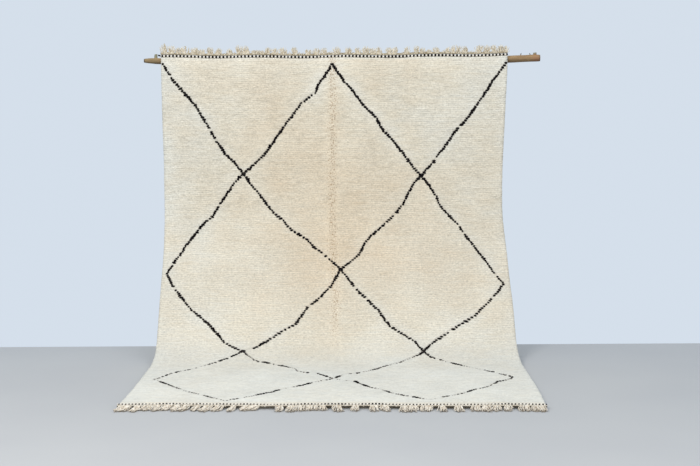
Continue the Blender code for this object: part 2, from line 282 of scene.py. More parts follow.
class Finish:
    """The nodes of one material."""

    def __init__(self, name, roughness, sheen=0.0, gloss=0.25):
        self.material = bpy.data.materials.new(name)
        self.material.use_nodes = True
        self.tree = self.material.node_tree
        self.shader = self.tree.nodes["Principled BSDF"]
        self.shader.inputs["Roughness"].default_value = roughness
        self.shader.inputs["Specular IOR Level"].default_value = gloss
        self.shader.inputs["Sheen Weight"].default_value = sheen
        self.shader.inputs["Sheen Roughness"].default_value = 0.6

    def node(self, kind, settings=None, inputs=None, output=0):
        """Add a node: its settings first, then the numbers or links of its sockets."""
        made = self.tree.nodes.new(kind)
        for name, value in (settings or {}).items():
            if name == "stops":
                self.set_stops(made.color_ramp, value)
            else:
                setattr(made, name, value)
        for name, value in (inputs or {}).items():
            self.feed(made.inputs[name], value)
        return Value(self, made.outputs[output])

    def feed(self, socket, value):
        """Link or set one socket."""
        if isinstance(value, Value):
            self.tree.links.new(value.socket, socket)
        else:
            socket.default_value = value

    def set_stops(self, ramp, stops):
        """Give a colour ramp its stops."""
        while len(ramp.elements) < len(stops):
            ramp.elements.new(0.5)
        for element, (place, colour) in zip(ramp.elements, stops):
            element.position = place
            element.color = (*colour, 1.0)

    def place(self):
        """The piece's own coordinates, in metres."""
        return self.node("ShaderNodeTexCoord", output="Object")

    def cloth_place(self):
        """Place on the flat cloth: across from the left edge, and along from the top edge."""
        return self.node("ShaderNodeUVMap", {"uv_map": "cloth"})

    def axis(self, place, number):
        """One of the coordinates of a place."""
        return self.node("ShaderNodeSeparateXYZ", None, {0: place}, number)

    def threads(self, place, direction, scale, wander, detail):
        """Soft parallel threads that wander a little."""
        return self.node("ShaderNodeTexWave", {"bands_direction": direction},
                         {"Vector": place, "Scale": scale, "Distortion": wander, "Detail Scale": detail})

    def attribute(self, name):
        """One of the piece's own numbers."""
        return self.node("ShaderNodeAttribute", {"attribute_name": name}, output="Fac")

    def scaled(self, place, sizes):
        """The coordinates with a pattern's own scale along each axis."""
        return self.node("ShaderNodeMapping", {"vector_type": "TEXTURE"},
                         {"Vector": place, "Scale": sizes})

    def noise(self, place, sizes, detail, roughness):
        """Smooth noise whose blobs have these sizes along each axis."""
        return self.node("ShaderNodeTexNoise", None,
                         {"Vector": self.scaled(place, sizes), "Scale": 1.0, "Detail": detail,
                          "Roughness": roughness})

    def ramp(self, value, stops):
        """A colour for each value."""
        return self.node("ShaderNodeValToRGB", {"stops": stops}, {0: value})

    def step(self, value, low, high):
        """Nothing under low, one over high, and smooth between."""
        return self.node("ShaderNodeMapRange", {"interpolation_type": "SMOOTHSTEP"},
                         {"Value": value, "From Min": low, "From Max": high})

    def mix(self, share, first, second):
        """The first colour where share is nothing, the second where it is one."""
        first, second = ((*c, 1.0) if isinstance(c, tuple) else c for c in (first, second))
        return self.node("ShaderNodeMix", {"data_type": "RGBA"}, {0: share, 6: first, 7: second}, 2)

    def shade(self, colour, light):
        """A colour made lighter or darker."""
        grey = self.node("ShaderNodeCombineColor", None, {0: light, 1: light, 2: light})
        return self.node("ShaderNodeMix", {"data_type": "RGBA", "blend_type": "MULTIPLY"},
                         {0: 1.0, 6: colour, 7: grey}, 2)

    def done(self, colour, height=None, depth=0.001):
        """Join the patterns to the shader; depth is how far the relief stands out."""
        self.feed(self.shader.inputs["Base Color"], colour)
        if height is not None:
            bump = self.node("ShaderNodeBump", None, {"Strength": 1.0, "Distance": depth, "Height": height})
            self.feed(self.shader.inputs["Normal"], bump)
        return self.material


# ---- the surface that the cloth follows ----
def catmull(a, b, c, d, t):
    """A smooth value between b and c."""
    return 0.5 * (2 * b + (c - a) * t + (2 * a - 5 * b + 4 * c - d) * t ** 2
                  + (3 * b - a - 3 * c + d) * t ** 3)


def smooth_run(stations, steps=24):
    """The stations joined by a smooth curve, as an array with one point in a row."""
    points = []
    last = len(stations) - 1
    for i in range(last):
        around = [stations[max(0, min(last, i + k))] for k in (-1, 0, 1, 2)]
        for step in range(steps + (i == last - 1)):
            points.append([catmull(*column, step / steps) for column in zip(*around)])
    return np.array(points)


CURVE = smooth_run(RUN)
CURVE[:, 1] = np.maximum(0.0, CURVE[:, 1])
LENGTHS = np.concatenate([[0.0], np.cumsum(np.hypot(np.diff(CURVE[:, 0]), np.diff(CURVE[:, 1])))])
RUG_LONG = float(LENGTHS[-1])
RIB_PITCH = RUG_LONG / RIBS


def fade(distance, length):
    """One at the start, falling smoothly to nothing."""
    near = np.maximum(0.0, 1.0 - distance / length)
    return near * near * (3 - 2 * near)


@lru_cache(maxsize=None)
def hills(seed):
    """The heights that one random surface passes through."""
    return np.random.default_rng(seed).uniform(-1, 1, (HILL_COLUMNS, HILL_ROWS))


def drift(x, y, seed):
    """A smooth random surface from -1 to 1, with one hill or hollow to each unit."""
    table = hills(seed)
    x, y = np.broadcast_arrays(np.asarray(x, float), np.asarray(y, float))
    column, row = np.floor(x).astype(int), np.floor(y).astype(int)
    u, v = x - column, y - row
    u, v = u * u * (3 - 2 * u), v * v * (3 - 2 * v)
    corner = [[table[(column + i) % HILL_COLUMNS, (row + j) % HILL_ROWS] for j in (0, 1)] for i in (0, 1)]
    near = corner[0][0] * (1 - v) + corner[0][1] * v
    far = corner[1][0] * (1 - v) + corner[1][1] * v
    return near * (1 - u) + far * u


def on_cloth(share, along, height):
    """Points at a share of the width and a length from the top edge, this high over the back face."""
    share, along, height = np.broadcast_arrays(*(np.asarray(v, float) for v in (share, along, height)))
    out, up, left, right = (np.interp(along, LENGTHS, column) for column in CURVE.T)
    before = np.clip(along - SLOPE_STEP, 0, RUG_LONG)
    after = np.clip(along + SLOPE_STEP, 0, RUG_LONG)
    run = np.interp(after, LENGTHS, CURVE[:, 0]) - np.interp(before, LENGTHS, CURVE[:, 0])
    rise = np.interp(after, LENGTHS, CURVE[:, 1]) - np.interp(before, LENGTHS, CURVE[:, 1])
    size = np.hypot(run, rise)
    lift = (TOP_RIPPLE * np.sin(25 * share + 0.8) - TOP_SAG * 4 * share * (1 - share))
    lift = lift * fade(along, EDGE_FADE)
    lying = np.maximum(0.0, (out - TOUCH_DOWN) / (RUN[-1].out - TOUCH_DOWN))
    ripple = FRONT_RIPPLE * (np.sin(17 * share + 2.0) + 0.5 * np.sin(39 * share))
    ripple = ripple * fade(RUG_LONG - along, EDGE_FADE)
    x = left + (right - left) * share
    y = WALL_Y - out - FRONT_SKEW * (share - 0.5) * lying - ripple + height * rise / size
    z = up + lift + height * run / size
    return np.stack([x, y, z], axis=-1)


def top_edge(share, reach, depth):
    """Points over the top edge: reach up from the pile, depth towards the viewer from mid-thickness."""
    place = on_cloth(share, 0.0, 0.0)
    x = place[..., 0]
    return np.stack([x, place[..., 1] + (-PILE_THICK / 2 - depth), place[..., 2] + reach], axis=-1)


def front_edge(share, reach, depth):
    """Points beyond the front edge: reach out from the pile, depth below the raised front cord."""
    place = on_cloth(share, RUG_LONG, 0.0)
    x = place[..., 0]
    return np.stack([x, place[..., 1] - reach, x * 0 + PILE_THICK / 2 + FRONT_LIFT - depth], axis=-1)


def rib_wander(share, along):
    """How far the rows of knots stray from straight lines."""
    broad = drift(share * 5, along * 2.2, seed=3) * 0.0055
    close = drift(share * 21, along * 9, seed=4) * 0.0022
    return (broad + close) * (1 - fade(along, 0.12)) * (1 - fade(RUG_LONG - along, 0.12))


def crease(share, along):
    """One along the lengthwise fold mark, nothing away from it."""
    wobble = drift(along * 7, 0.5, seed=9) * 0.009 + drift(along * 31, 0.5, seed=10) * 0.004
    across = ((share - CREASE_AT) * RUG_WIDE + wobble) / CREASE_WIDE
    running = 1.0 - fade(np.maximum(0.0, CREASE_END - along / RUG_LONG), 0.10)
    return np.exp(-across * across) * running


# ---- making pieces ----
def finish_piece(obj, material, slot_name, *nodes):
    """Give a piece its material, and its place in the frame."""
    obj.data.materials.clear()
    obj.data.materials.append(material)
    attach(obj, "root")
    if nodes:
        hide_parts(*nodes)
    return obj


def object_of(name, bm):
    """Turn a bmesh into a smooth-shaded object in the scene."""
    mesh = bpy.data.meshes.new(name)
    bm.to_mesh(mesh)
    bm.free()
    mesh.shade_smooth()
    obj = bpy.data.objects.new(name, mesh)
    bpy.context.scene.collection.objects.link(obj)
    return obj


def corners_of(mesh):
    """The mesh's points, one in a row."""
    points = np.empty(len(mesh.vertices) * 3)
    mesh.vertices.foreach_get("co", points)
    return points.reshape(-1, 3)


def move_corners(mesh, points):
    """Put the mesh's points in new places."""
    mesh.vertices.foreach_set("co", np.asarray(points, np.float32).ravel())
    mesh.update()


def keep_cloth_map(mesh, across, along):
    """A UV map that says where each point is on the flat cloth, in metres."""
    layer = mesh.uv_layers.new(name="cloth")
    index = np.empty(len(mesh.loops), np.int32)
    mesh.loops.foreach_get("vertex_index", index)
    layer.data.foreach_set("uv", np.stack([across[index], along[index]], axis=1).astype(np.float32).ravel())


def keep_number(mesh, name, values):
    """One number at each point, for the material."""
    layer = mesh.attributes.new(name, "FLOAT", "POINT")
    layer.data.foreach_set("value", np.asarray(values, np.float32))


def grid(name, columns, rows):
    """A flat grid; its points' column and row numbers are given with it."""
    bm = bmesh.new()
    bmesh.ops.create_grid(bm, x_segments=columns, y_segments=rows, size=0.5)
    obj = object_of(name, bm)
    flat = corners_of(obj.data)
    return obj, np.rint((flat[:, 0] + 0.5) * columns), np.rint((0.5 - flat[:, 1]) * rows)


def copies(name, shape, count):
    """Many copies of a shape in one mesh; its points are given with it, one copy in a row."""
    mesh = bpy.data.meshes.new("shape")
    shape.to_mesh(mesh)
    shape.free()
    bm = bmesh.new()
    for _ in range(count):
        bm.from_mesh(mesh)
    bpy.data.meshes.remove(mesh)
    obj = object_of(name, bm)
    return obj, corners_of(obj.data).reshape(count, -1, 3)


def yarns(name, strands, sides=0):
    """Many strands of yarn as one mesh. A strand is a list of (point, radius)."""
    curve = bpy.data.curves.new(name + "_lines", "CURVE")
    curve.dimensions = "3D"
    curve.bevel_depth = 1.0
    curve.bevel_resolution = sides
    curve.use_fill_caps = True
    for strand in strands:
        spline = curve.splines.new("POLY")
        spline.points.add(len(strand) - 1)
        for point, (place, radius) in zip(spline.points, strand):
            point.co = (*place, 1.0)
            point.radius = radius
    guide = bpy.data.objects.new(name + "_lines", curve)
    bpy.context.scene.collection.objects.link(guide)
    bpy.context.view_layer.update()
    evaluated = guide.evaluated_get(bpy.context.evaluated_depsgraph_get())
    bm = bmesh.new()
    bm.from_mesh(bpy.data.meshes.new_from_object(evaluated))
    bpy.data.objects.remove(guide, do_unlink=True)
    bmesh.ops.remove_doubles(bm, verts=bm.verts[:], dist=0.00001)
    bmesh.ops.recalc_face_normals(bm, faces=bm.faces[:])
    return object_of(name, bm)


# ---- the pile and its ground weave ----
def line_distance(across, along):
    """Distance of each place on the flat cloth from the nearest dark line."""
    nearest = np.full(across.shape, 9.0)
    for line in LINES:
        for (x0, y0), (x1, y1) in zip(line, line[1:]):
            dx, dy = x1 - x0, y1 - y0
            t = np.clip(((across - x0) * dx + (along - y0) * dy) / (dx * dx + dy * dy), 0, 1)
            nearest = np.minimum(nearest, np.hypot(across - x0 - t * dx, along - y0 - t * dy))
    return nearest


def rib_height(share, along, rib, lip):
    """Height of the pile over the back face; lip is nothing at a row's root and one at its lip."""
    lock = drift(share * 70 + rib * 7.31, rib * 1.37, seed=21)
    ends = drift(share * 150 + rib * 3.11, rib * 2.71, seed=25)
    broad = drift(share * 13, along * 6, seed=22)
    stand = PILE_LIP * lip * (0.74 + 0.34 * lock + 0.22 * ends)
    worn = 0.0060 * fade(RUG_LONG - along, 0.035)
    return PILE_LOW + stand + 0.0010 * broad + 0.0030 * crease(share, along) - worn


def warmth_and_top_highlight(across, along):
    """How far the wool goes from white, near the front, to warm beige in the middle of the wall part; a
    painted highlight whitens the first rows below the top cord.
    """
    middle = np.exp(-((across - 1.02) / 0.62) ** 2 - ((along - 1.02) / 0.80) ** 2)
    clouds = 0.16 * drift(across * 3.2, along * 2.6, seed=26) + 0.12 * drift(across * 9, along * 12, seed=27)
    near_line = np.exp(-(line_distance(across, along) / 0.05) ** 2)
    hanging = 1.0 - np.clip((along - 1.45) / 0.75, 0, 1)
    warm = (0.34 + 0.50 * middle + clouds - 0.16 * near_line) * (0.25 + 0.75 * hanging)
    warm = warm + 0.42 * np.clip((along - RUG_LONG + 0.07) / 0.05, 0, 1)
    # painted highlight: the first rows below the top cord go white
    warm = warm * (1 - 0.7 * fade(along, 0.02))
    return warm - 0.10 * fade(across, 0.12) - 0.08 * fade(RUG_WIDE - across, 0.08)


def build_pile(material):
    """The shag: rows of knots whose ends lie over the row below, as one sheet tucked in at its rim."""
    pile, column, row = grid("rug_pile", PILE_COLUMNS, 2 * RIBS)
    share = np.clip(EDGE_CELL + (column - 1) / (PILE_COLUMNS - 2) * (1 - 2 * EDGE_CELL), 0, 1)
    rib, lip = np.divmod(row, 2)
    plain = (rib + LIP_AT * lip) * RIB_PITCH
    inner = (row > 0) & (row < 2 * RIBS)
    jag = drift(share * 80 + rib * 3.7, rib * 1.9, seed=23) * 0.0016 * lip
    along = np.where(inner, np.clip(plain + rib_wander(share, plain) + jag, 0.001, RUG_LONG - 0.001), plain)
    height = rib_height(share, along, rib, lip)
    inner &= (column > 0) & (column < PILE_COLUMNS)
    height = np.where(inner, height, GROUND_THICK * 0.4)
    points = on_cloth(share, along, height)
    side = np.where(column <= 1, -1.0, 0.0) + np.where(column >= PILE_COLUMNS - 1, 1.0, 0.0)
    points[:, 0] += side * (0.0016 * lip + 0.0014 * drift(rib * 0.9, 0.5, seed=24))
    across = share * RUG_WIDE
    move_corners(pile.data, points)
    keep_cloth_map(pile.data, across, along)
    # how far each point stands over the roots, for the painted shade in the roots
    keep_number(pile.data, "lip", np.clip((height - PILE_LOW) / PILE_LIP, 0, 1.3))
    keep_number(pile.data, "crease", crease(share, along))
    keep_number(pile.data, "warm", np.clip(warmth_and_top_highlight(across, along), 0, 1))
    # nearness to a dark line, for the painted shadow round its knots
    keep_number(pile.data, "line", np.exp(-(line_distance(across, along) / 0.008) ** 2))
    return finish_piece(pile, material, "pile_wool", "rug")


def build_ground(material):
    """The flat ground weave behind the pile, a thin closed sheet."""
    ground, column, row = grid("rug_ground", GROUND_COLUMNS, GROUND_ROWS)
    share, along = column / GROUND_COLUMNS, row / GROUND_ROWS * RUG_LONG
    move_corners(ground.data, on_cloth(share, along, GROUND_THICK))
    keep_cloth_map(ground.data, share * RUG_WIDE, along)
    keep_number(ground.data, "line", np.exp(-(line_distance(share * RUG_WIDE, along) / 0.016) ** 2))
    skin = ground.modifiers.new("weave", "SOLIDIFY")
    skin.thickness = GROUND_THICK
    skin.offset = -1.0
    skin.use_even_offset = True
    return finish_piece(ground, material, "pile_wool", "rug")


def knot_places():
    """Where the dark lines cross each row of knots: (x from the left edge, row, slant of the line)."""
    places = []
    for line in LINES:
        for (x0, y0), (x1, y1) in zip(line, line[1:]):
            first, last = sorted((y0 / RIB_PITCH, y1 / RIB_PITCH))
            slant = (x1 - x0) / (y1 - y0)
            for rib in range(math.ceil(first), math.ceil(last)):
                places.append((x0 + (rib * RIB_PITCH - y0) * slant, rib, slant))
    return np.array(places)


def build_knots(material):
    """The dark knots of the line pattern, one in each row of the pile."""
    rng = np.random.default_rng(LINE_SEED)
    places = knot_places()
    missed = MISSED + MISSED_MORE * (places[:, 1] * RIB_PITCH > MISSED_FROM)
    places = places[rng.random(len(places)) > missed]
    count = len(places)
    rib, slant = places[:, 1], np.clip(places[:, 2], -SLANT_MOST, SLANT_MOST)
    share = (places[:, 0] + rng.uniform(-KNOT_STRAY, KNOT_STRAY, count)) / RUG_WIDE
    plain = (rib + 0.60) * RIB_PITCH
    along = plain + rib_wander(share, plain) + rng.uniform(-0.001, 0.001, count)
    low = rib_height(share, along, rib, 0.75) + 0.0006
    lying = np.clip((along - LYING_FROM) / 0.15, 0, 1)
    stretch = drift(share * 23, along * 23, seed=71)
    bold = (1 + 0.16 * stretch) * (1 - lying) + (0.66 + 0.55 * stretch) * lying
    wide = (KNOT_WIDE + 0.0019 * np.abs(slant)) * bold * rng.choice((0.75, 0.95, 1.0, 1.1, 1.35), count)
    long = KNOT_LONG * rng.uniform(0.80, 1.12, count) * (0.4 + 0.6 * bold)
    base = on_cloth(share, along, low)
    down = on_cloth(share, np.minimum(RUG_LONG, along + 0.01), low) - base
    down /= np.linalg.norm(down, axis=1, keepdims=True)
    out = (on_cloth(share, along, low + 0.01) - base) * 100
    template = bmesh.new()
    bmesh.ops.create_uvsphere(template, u_segments=KNOT_SIDES, v_segments=KNOT_RINGS, radius=1.0)
    knots, flat = copies("motif_knots", template, count)
    flat = flat * (1 + rng.uniform(-0.16, 0.16, flat.shape))
    x = flat[..., 0] * wide[:, None]
    y = flat[..., 1] * long[:, None] + x * rng.uniform(-0.3, 0.3, count)[:, None]
    z = flat[..., 2] * (KNOT_TALL * np.clip(bold, 0.3, 1))[:, None] + 0.0012 * flat[..., 1]
    points = base[:, None] + down[:, None] * y[..., None] + out[:, None] * z[..., None]
    points[..., 0] += x
    move_corners(knots.data, points)
    pale = lying * np.clip(0.25 - 0.9 * stretch + rng.uniform(-0.35, 0.35, count), 0, 1)
    keep_number(knots.data, "pale", np.repeat(pale, flat.shape[1]))
    return finish_piece(knots, material, "pile_wool")


# ---- cords and fringes ----
def build_cord(node, edge, twist, dark, pale, loose_end):
    """A twined cord along one end of the pile: two strands, the dark one plump where it faces out."""
    turns = RUG_WIDE / twist.turn
    steps = int(turns * CORD_STEPS)
    rng = np.random.default_rng(CORD_SEED)
    share = np.linspace(0.0, 1.0, steps + 1)
    made = []
    for strand, material in enumerate((dark, pale)):
        angle = 2 * math.pi * turns * share + math.pi * strand + 0.5 * drift(share * 40, 0.5, seed=33)
        spread = TWIST_RADIUS * (1 + 0.10 * rng.uniform(-1, 1, steps + 1))
        outward, sideways = -1.25 * spread * np.cos(angle), 0.30 * spread * np.sin(angle)
        centre = edge(share, CORD_REACH - CORD_TUCK, 0.0)
        centre[:, 1] += outward * twist.facing[0] - sideways * twist.facing[1]
        centre[:, 2] += outward * twist.facing[1] + sideways * twist.facing[0]
        front = np.maximum(0.0, -np.cos(angle)) ** 0.45
        front *= np.maximum(0.0, 1 + twist.uneven * drift(angle / (7 * math.pi), 0.5, seed=34))
        swell = (0.60 + twist.plump * front, twist.pale + 0.05 * front)[strand]
        thick = STRAND_RADIUS * swell * (1 + 0.06 * rng.uniform(-1, 1, steps + 1))
        centre[:, 2] = np.maximum(centre[:, 2], thick)
        line = [(Vector(place), radius) for place, radius in zip(centre, thick)]
        if loose_end and strand == 0:
            corner = Vector(edge(0.0, CORD_REACH, 0.0))
            end = np.array(LOOSE_END_MM) / 1000
            line = [(corner + Vector(step[:3]), step[3]) for step in end] + line
        cord = yarns(f"{node}_{('dark', 'pale')[strand]}", [line], 1)
        made.append(finish_piece(cord, material, "twined_wool", node))
    return made


def build_band(node, edge, material, thick, depth):
    """The narrow flat-woven band outside the cord."""
    bm = bmesh.new()
    bmesh.ops.create_cube(bm, size=1.0)
    lengthwise = [e for e in bm.edges if abs(e.verts[0].co.x - e.verts[1].co.x) > 0.5]
    bmesh.ops.subdivide_edges(bm, edges=lengthwise, cuts=BAND_CUTS, use_grid_fill=True)
    band = object_of(node.replace("fringe", "band"), bm)
    flat = corners_of(band.data)
    share = flat[:, 0] + 0.5
    rough = drift(share * 150, flat[:, 1] * 3 + flat[:, 2], seed=41) * 0.0009
    reach = BAND_START - 0.001 + (flat[:, 1] + 0.5) * (BAND_LONG + 0.002) + rough
    move_corners(band.data, edge(share, reach, depth + flat[:, 2] * thick + rough))
    keep_cloth_map(band.data, share * RUG_WIDE, reach)
    bm = bmesh.new()
    bm.from_mesh(band.data)
    bmesh.ops.recalc_face_normals(bm, faces=bm.faces[:])
    bm.to_mesh(band.data)
    bm.free()
    return finish_piece(band, material, "fringe_wool", node)


def tuft(rng, edge, share, reach, shape, ends, droop=0.0, lean=0.0):
    """The strands of one tuft, from its neck in the band to its loose tips."""
    start = BAND_START + TUFT_ROOT
    strands = []
    lean += rng.uniform(-0.006, 0.006)
    steps = np.array(TUFT_STEPS)
    spread = shape.neck + (1 - shape.neck) * np.sin(math.pi * np.minimum(0.60, 0.66 * steps))
    for _ in range(ends):
        turn, far = rng.uniform(0, 2 * math.pi), math.sqrt(rng.random())
        side, rise = math.cos(turn) * far, min(shape.rise, math.sin(turn) * far)
        tip = start + (reach - start) * (rng.uniform(0.66, 1.10) - 0.22 * side * side)
        curl, wave = rng.uniform(0.0, 2 * math.pi), rng.uniform(4, 9)
        across = side * shape.wide / 2 * spread + lean * steps + 0.0050 * steps * np.sin(curl + wave * steps)
        out = STRAND_CURL * steps * np.cos(curl + wave * steps) - rise * shape.deep / 2 * spread
        up = start + (tip - start) * steps
        sink = np.minimum(droop, np.maximum(0.0, up - start - 0.004) * 0.36)
        places = edge(share + across / RUG_WIDE, up, out + sink)
        places[:, 1] -= 0.0035 * (1 - steps)
        places[:, 2] = np.maximum(places[:, 2], STRAND_CLEAR)
        radii = [shape.yarn * (1.0 - 0.4 * step) for step in steps]
        strands.append([(Vector(place), radius) for place, radius in zip(places, radii)])
    return strands


def build_top_fringe(material):
    """The warp ends over the top cord: tufts with narrow necks that stand up from a low ragged hedge."""
    rng = random.Random(TOP_SEED)
    strands = []
    for across, height, wide in np.array(TOP_TUFTS_MM) / 1000:
        shape = Tuft(wide * 1.06, 0.022, 0.36, 1.0, 0.0019)
        strands += tuft(rng, top_edge, across / RUG_WIDE, BAND_START + height * 1.04, shape,
                        int(TOP_YARNS * wide))
    for i in range(TOP_HEDGE):
        share = (i + rng.random()) / TOP_HEDGE
        height = 0.012 + 0.014 * rng.random() ** 2
        strands += tuft(rng, top_edge, share, BAND_START + height, Tuft(0.016, 0.012, 0.8, 1.0, 0.0018), 4)
    fringe = yarns("top_fringe_tufts", strands)
    return finish_piece(fringe, material, "fringe_wool", "top_fringe")


def build_bottom_fringe(material):
    """The warp ends beyond the front cord, tied in tufts that lie on the floor."""
    rng = random.Random(BOTTOM_SEED)
    strands = []
    droop = PILE_THICK / 2 + FRONT_LIFT - 0.004
    for share, reach, wide in np.array(BOTTOM_TUFTS) / 1000:
        swept = share < SWEPT_UNDER
        shape = Tuft(wide * (0.96 if swept else 1.10), 0.026, 0.70 if swept else 0.42, 0.20, 0.0026)
        strands += tuft(rng, front_edge, share + 0.006 * swept, reach * rng.uniform(1.15, 1.5), shape,
                        int(FRONT_YARNS * wide), droop, -0.026 * swept)
    for i in range(FRONT_HEDGE):
        share = (i + rng.random()) / FRONT_HEDGE
        reach = BAND_START + 0.007 + 0.006 * rng.random()
        strands += tuft(rng, front_edge, share, reach, Tuft(0.020, 0.008, 0.9, 0.2, 0.0018), 3, droop)
    fringe = yarns("bottom_fringe_tufts", strands)
    return finish_piece(fringe, material, "fringe_wool", "bottom_fringe")


def build_loops(material):
    """Loops of yarn round the pole and through the ground weave, behind the pile."""
    strands = []
    for i in range(LOOPS):
        x = LOOP_FIRST + LOOP_SPAN * i / (LOOPS - 1)
        line = []
        for step in range(LOOP_STEPS + LOOP_OVERLAP):
            angle = 2 * math.pi * step / LOOP_STEPS
            y = WALL_Y - LOOP_OUT - LOOP_DEEP * math.cos(angle)
            z = LOOP_UP + LOOP_TALL * math.sin(angle)
            line.append((Vector((x + LOOP_LEAN * step / LOOP_STEPS, y, z)), YARN_RADIUS))
        strands.append(line)
    loops = yarns("hanging_loops", strands, 1)
    return finish_piece(loops, material, "fringe_wool")


# ---- the pole ----
def round_stick(sides, cuts):
    """A plain round stick along X, one unit long and with a radius of one, its ends inset."""
    bm = bmesh.new()
    bmesh.ops.create_cone(bm, cap_ends=True, segments=sides, radius1=1.0, radius2=1.0, depth=1.0)
    caps = [face for face in bm.faces if len(face.verts) > 4]
    bmesh.ops.inset_region(bm, faces=caps, thickness=0.12, use_even_offset=False)
    lengthwise = [e for e in bm.edges if abs(e.verts[0].co.z - e.verts[1].co.z) > 0.5]
    bmesh.ops.subdivide_edges(bm, edges=lengthwise, cuts=cuts, use_grid_fill=True)
    bmesh.ops.rotate(bm, verts=bm.verts[:], matrix=Matrix.Rotation(math.pi / 2, 3, "Y"))
    return bm


def shape_branch(points):
    """The crooked branch: bent and tapered, its bare surface ridged and lumpy."""
    line = smooth_run(POLE, 8)
    x = points[:, 0] * (POLE[-1].x - POLE[0].x)
    out, up, radius = (np.interp(x, line[:, 0], line[:, i]) for i in (1, 2, 3))
    turn = np.arctan2(points[:, 2], points[:, 1])
    around = np.abs(turn)
    ridges = drift(around * 3 + 20, x * 6, seed=50) * 0.0007
    ridges = ridges + drift(around * 6 + 40, x * 28, seed=51) * 0.0004
    lumps = np.maximum(0.0, drift(around * 1.2 + 60, x * 9, seed=52) - 0.45) * 0.0035
    size = np.hypot(points[:, 1], points[:, 2]) * (radius + ridges + lumps)
    return np.stack([x, WALL_Y - out + np.cos(turn) * size, up + np.sin(turn) * size], axis=1)


def shape_stub(points, stub):
    """A side shoot that flares into the branch and ends in a saw cut."""
    t = points[:, 0] + 0.5
    radius = (stub.foot + (stub.tip - stub.foot) * t) * (1 + 0.55 * np.maximum(0.0, 0.45 - t))
    radius = radius + drift(np.abs(np.arctan2(points[:, 2], points[:, 1])) * 2 + 9, t * 5, seed=60) * 0.0005
    side, back = -points[:, 2] * radius, points[:, 1] * radius
    cut = np.where(t > 0.99, 0.12 * side, 0.0)
    x = stub.x + side + stub.lean * t * stub.long
    return np.stack([x, WALL_Y - POLE[0].out + back, stub.up + (t - 0.5) * stub.long + cut], axis=1)


def build_pole(material):
    """The branch with its sawn ends, and its two sawn side shoots."""
    bm = bmesh.new()
    shapes = [(POLE_SIDES, POLE_CUTS, shape_branch)]
    shapes += [(STUB_SIDES, STUB_CUTS, lambda points, stub=stub: shape_stub(points, stub)) for stub in STUBS]
    for sides, cuts, shape in shapes:
        stick = round_stick(sides, cuts)
        mesh = bpy.data.meshes.new("stick")
        stick.to_mesh(mesh)
        stick.free()
        move_corners(mesh, shape(corners_of(mesh)))
        bm.from_mesh(mesh)
        bpy.data.meshes.remove(mesh)
    bmesh.ops.recalc_face_normals(bm, faces=bm.faces[:])
    pole = object_of("pole_branch", bm)
    pole.data.set_sharp_from_angle(angle=math.radians(50))
    return finish_piece(pole, material, "pole_wood", "pole")


# ---- finishes ----
def pile_finish():
    """Undyed wool from white to warm beige, in rows of knots with painted shade at their roots, painted
    shadow round the dark knots and painted light on the upper part.
    """
    f = Finish("undyed_shag", 0.95, 0.15)
    cloth = f.cloth_place()
    lip, crease_mark, line = f.attribute("lip"), f.attribute("crease"), f.attribute("line")
    dashes = f.noise(cloth, (0.026, 0.009, 1), 2, 0.6)
    locks = f.noise(cloth, (0.011, 0.0075, 1), 1, 0.5)
    streaks = f.noise(cloth, (0.11, 0.016, 1), 2, 0.5)
    hairs = f.noise(cloth, (0.0022, 0.011, 1), 2, 0.6)
    warm = f.attribute("warm") + (streaks - 0.5) * 0.45
    colour = f.ramp(warm, ((0.0, (0.785, 0.77, 0.69)), (0.45, (0.775, 0.71, 0.58)),
                           (1.0, (0.73, 0.61, 0.45))))
    along = f.axis(cloth, 1)
    mottle = (dashes - 0.5) * 0.42 + (locks - 0.5) * 0.54
    # painted shade: each row's roots are darker than its lips; the mottle is the wool's own tone
    light = 0.815 + f.step(lip, -0.1, 0.9) * 0.165 + mottle * (1 - f.step(along, 1.60, 2.20) * 0.6)
    # painted light: the upper part of the hanging cloth is made lighter, more so further up
    light = light + (hairs - 0.5) * 0.08 + (1 - f.step(along, 0.05, 1.10)) * 0.066
    colour = f.shade(colour, light)
    tangle = f.noise(cloth, (0.0085, 0.0095, 1), 2, 0.6)
    flecks = f.step(tangle + (crease_mark - 1.0) * 0.16, 0.50, 0.60) * f.step(crease_mark, 0.02, 0.35)
    colour = f.mix(crease_mark * 0.14, colour, (0.52, 0.39, 0.245))
    colour = f.mix(flecks * 0.72, colour, (0.36, 0.235, 0.13))
    # painted shadow round and between the dark knots of the lines
    knot_painted_shadow = f.step(line + (dashes - 0.5) * 0.7, 0.45, 1.15)
    colour = f.mix(knot_painted_shadow * 0.35, colour, (0.20, 0.17, 0.145))
    return f.done(colour, hairs * 0.5 + dashes * 0.8 + locks * 0.9, 0.0014)


def ground_finish():
    """The flat side: warp and weft of cotton and wool, with the line pattern showing through."""
    f = Finish("ground_weave", 0.9)
    cloth = f.cloth_place()
    warp = f.threads(cloth, "X", 36.0, 1.2, 3.0)
    weft = f.threads(cloth, "Y", 60.0, 1.6, 3.0)
    tone = f.noise(cloth, (0.20, 0.012, 1), 3, 0.6)
    knots = f.noise(cloth, (0.008, 0.008, 1), 1, 0.5)
    colour = f.ramp(tone, ((0.3, (0.58, 0.52, 0.41)), (0.6, (0.50, 0.43, 0.32))))
    colour = f.shade(colour, 0.70 + warp * weft * 0.38)
    dark = f.step(f.attribute("line") + (knots - 0.5) * 0.8, 0.45, 0.75)
    colour = f.mix(dark * 0.85, colour, (0.040, 0.034, 0.032))
    return f.done(colour, warp * weft, 0.0012)


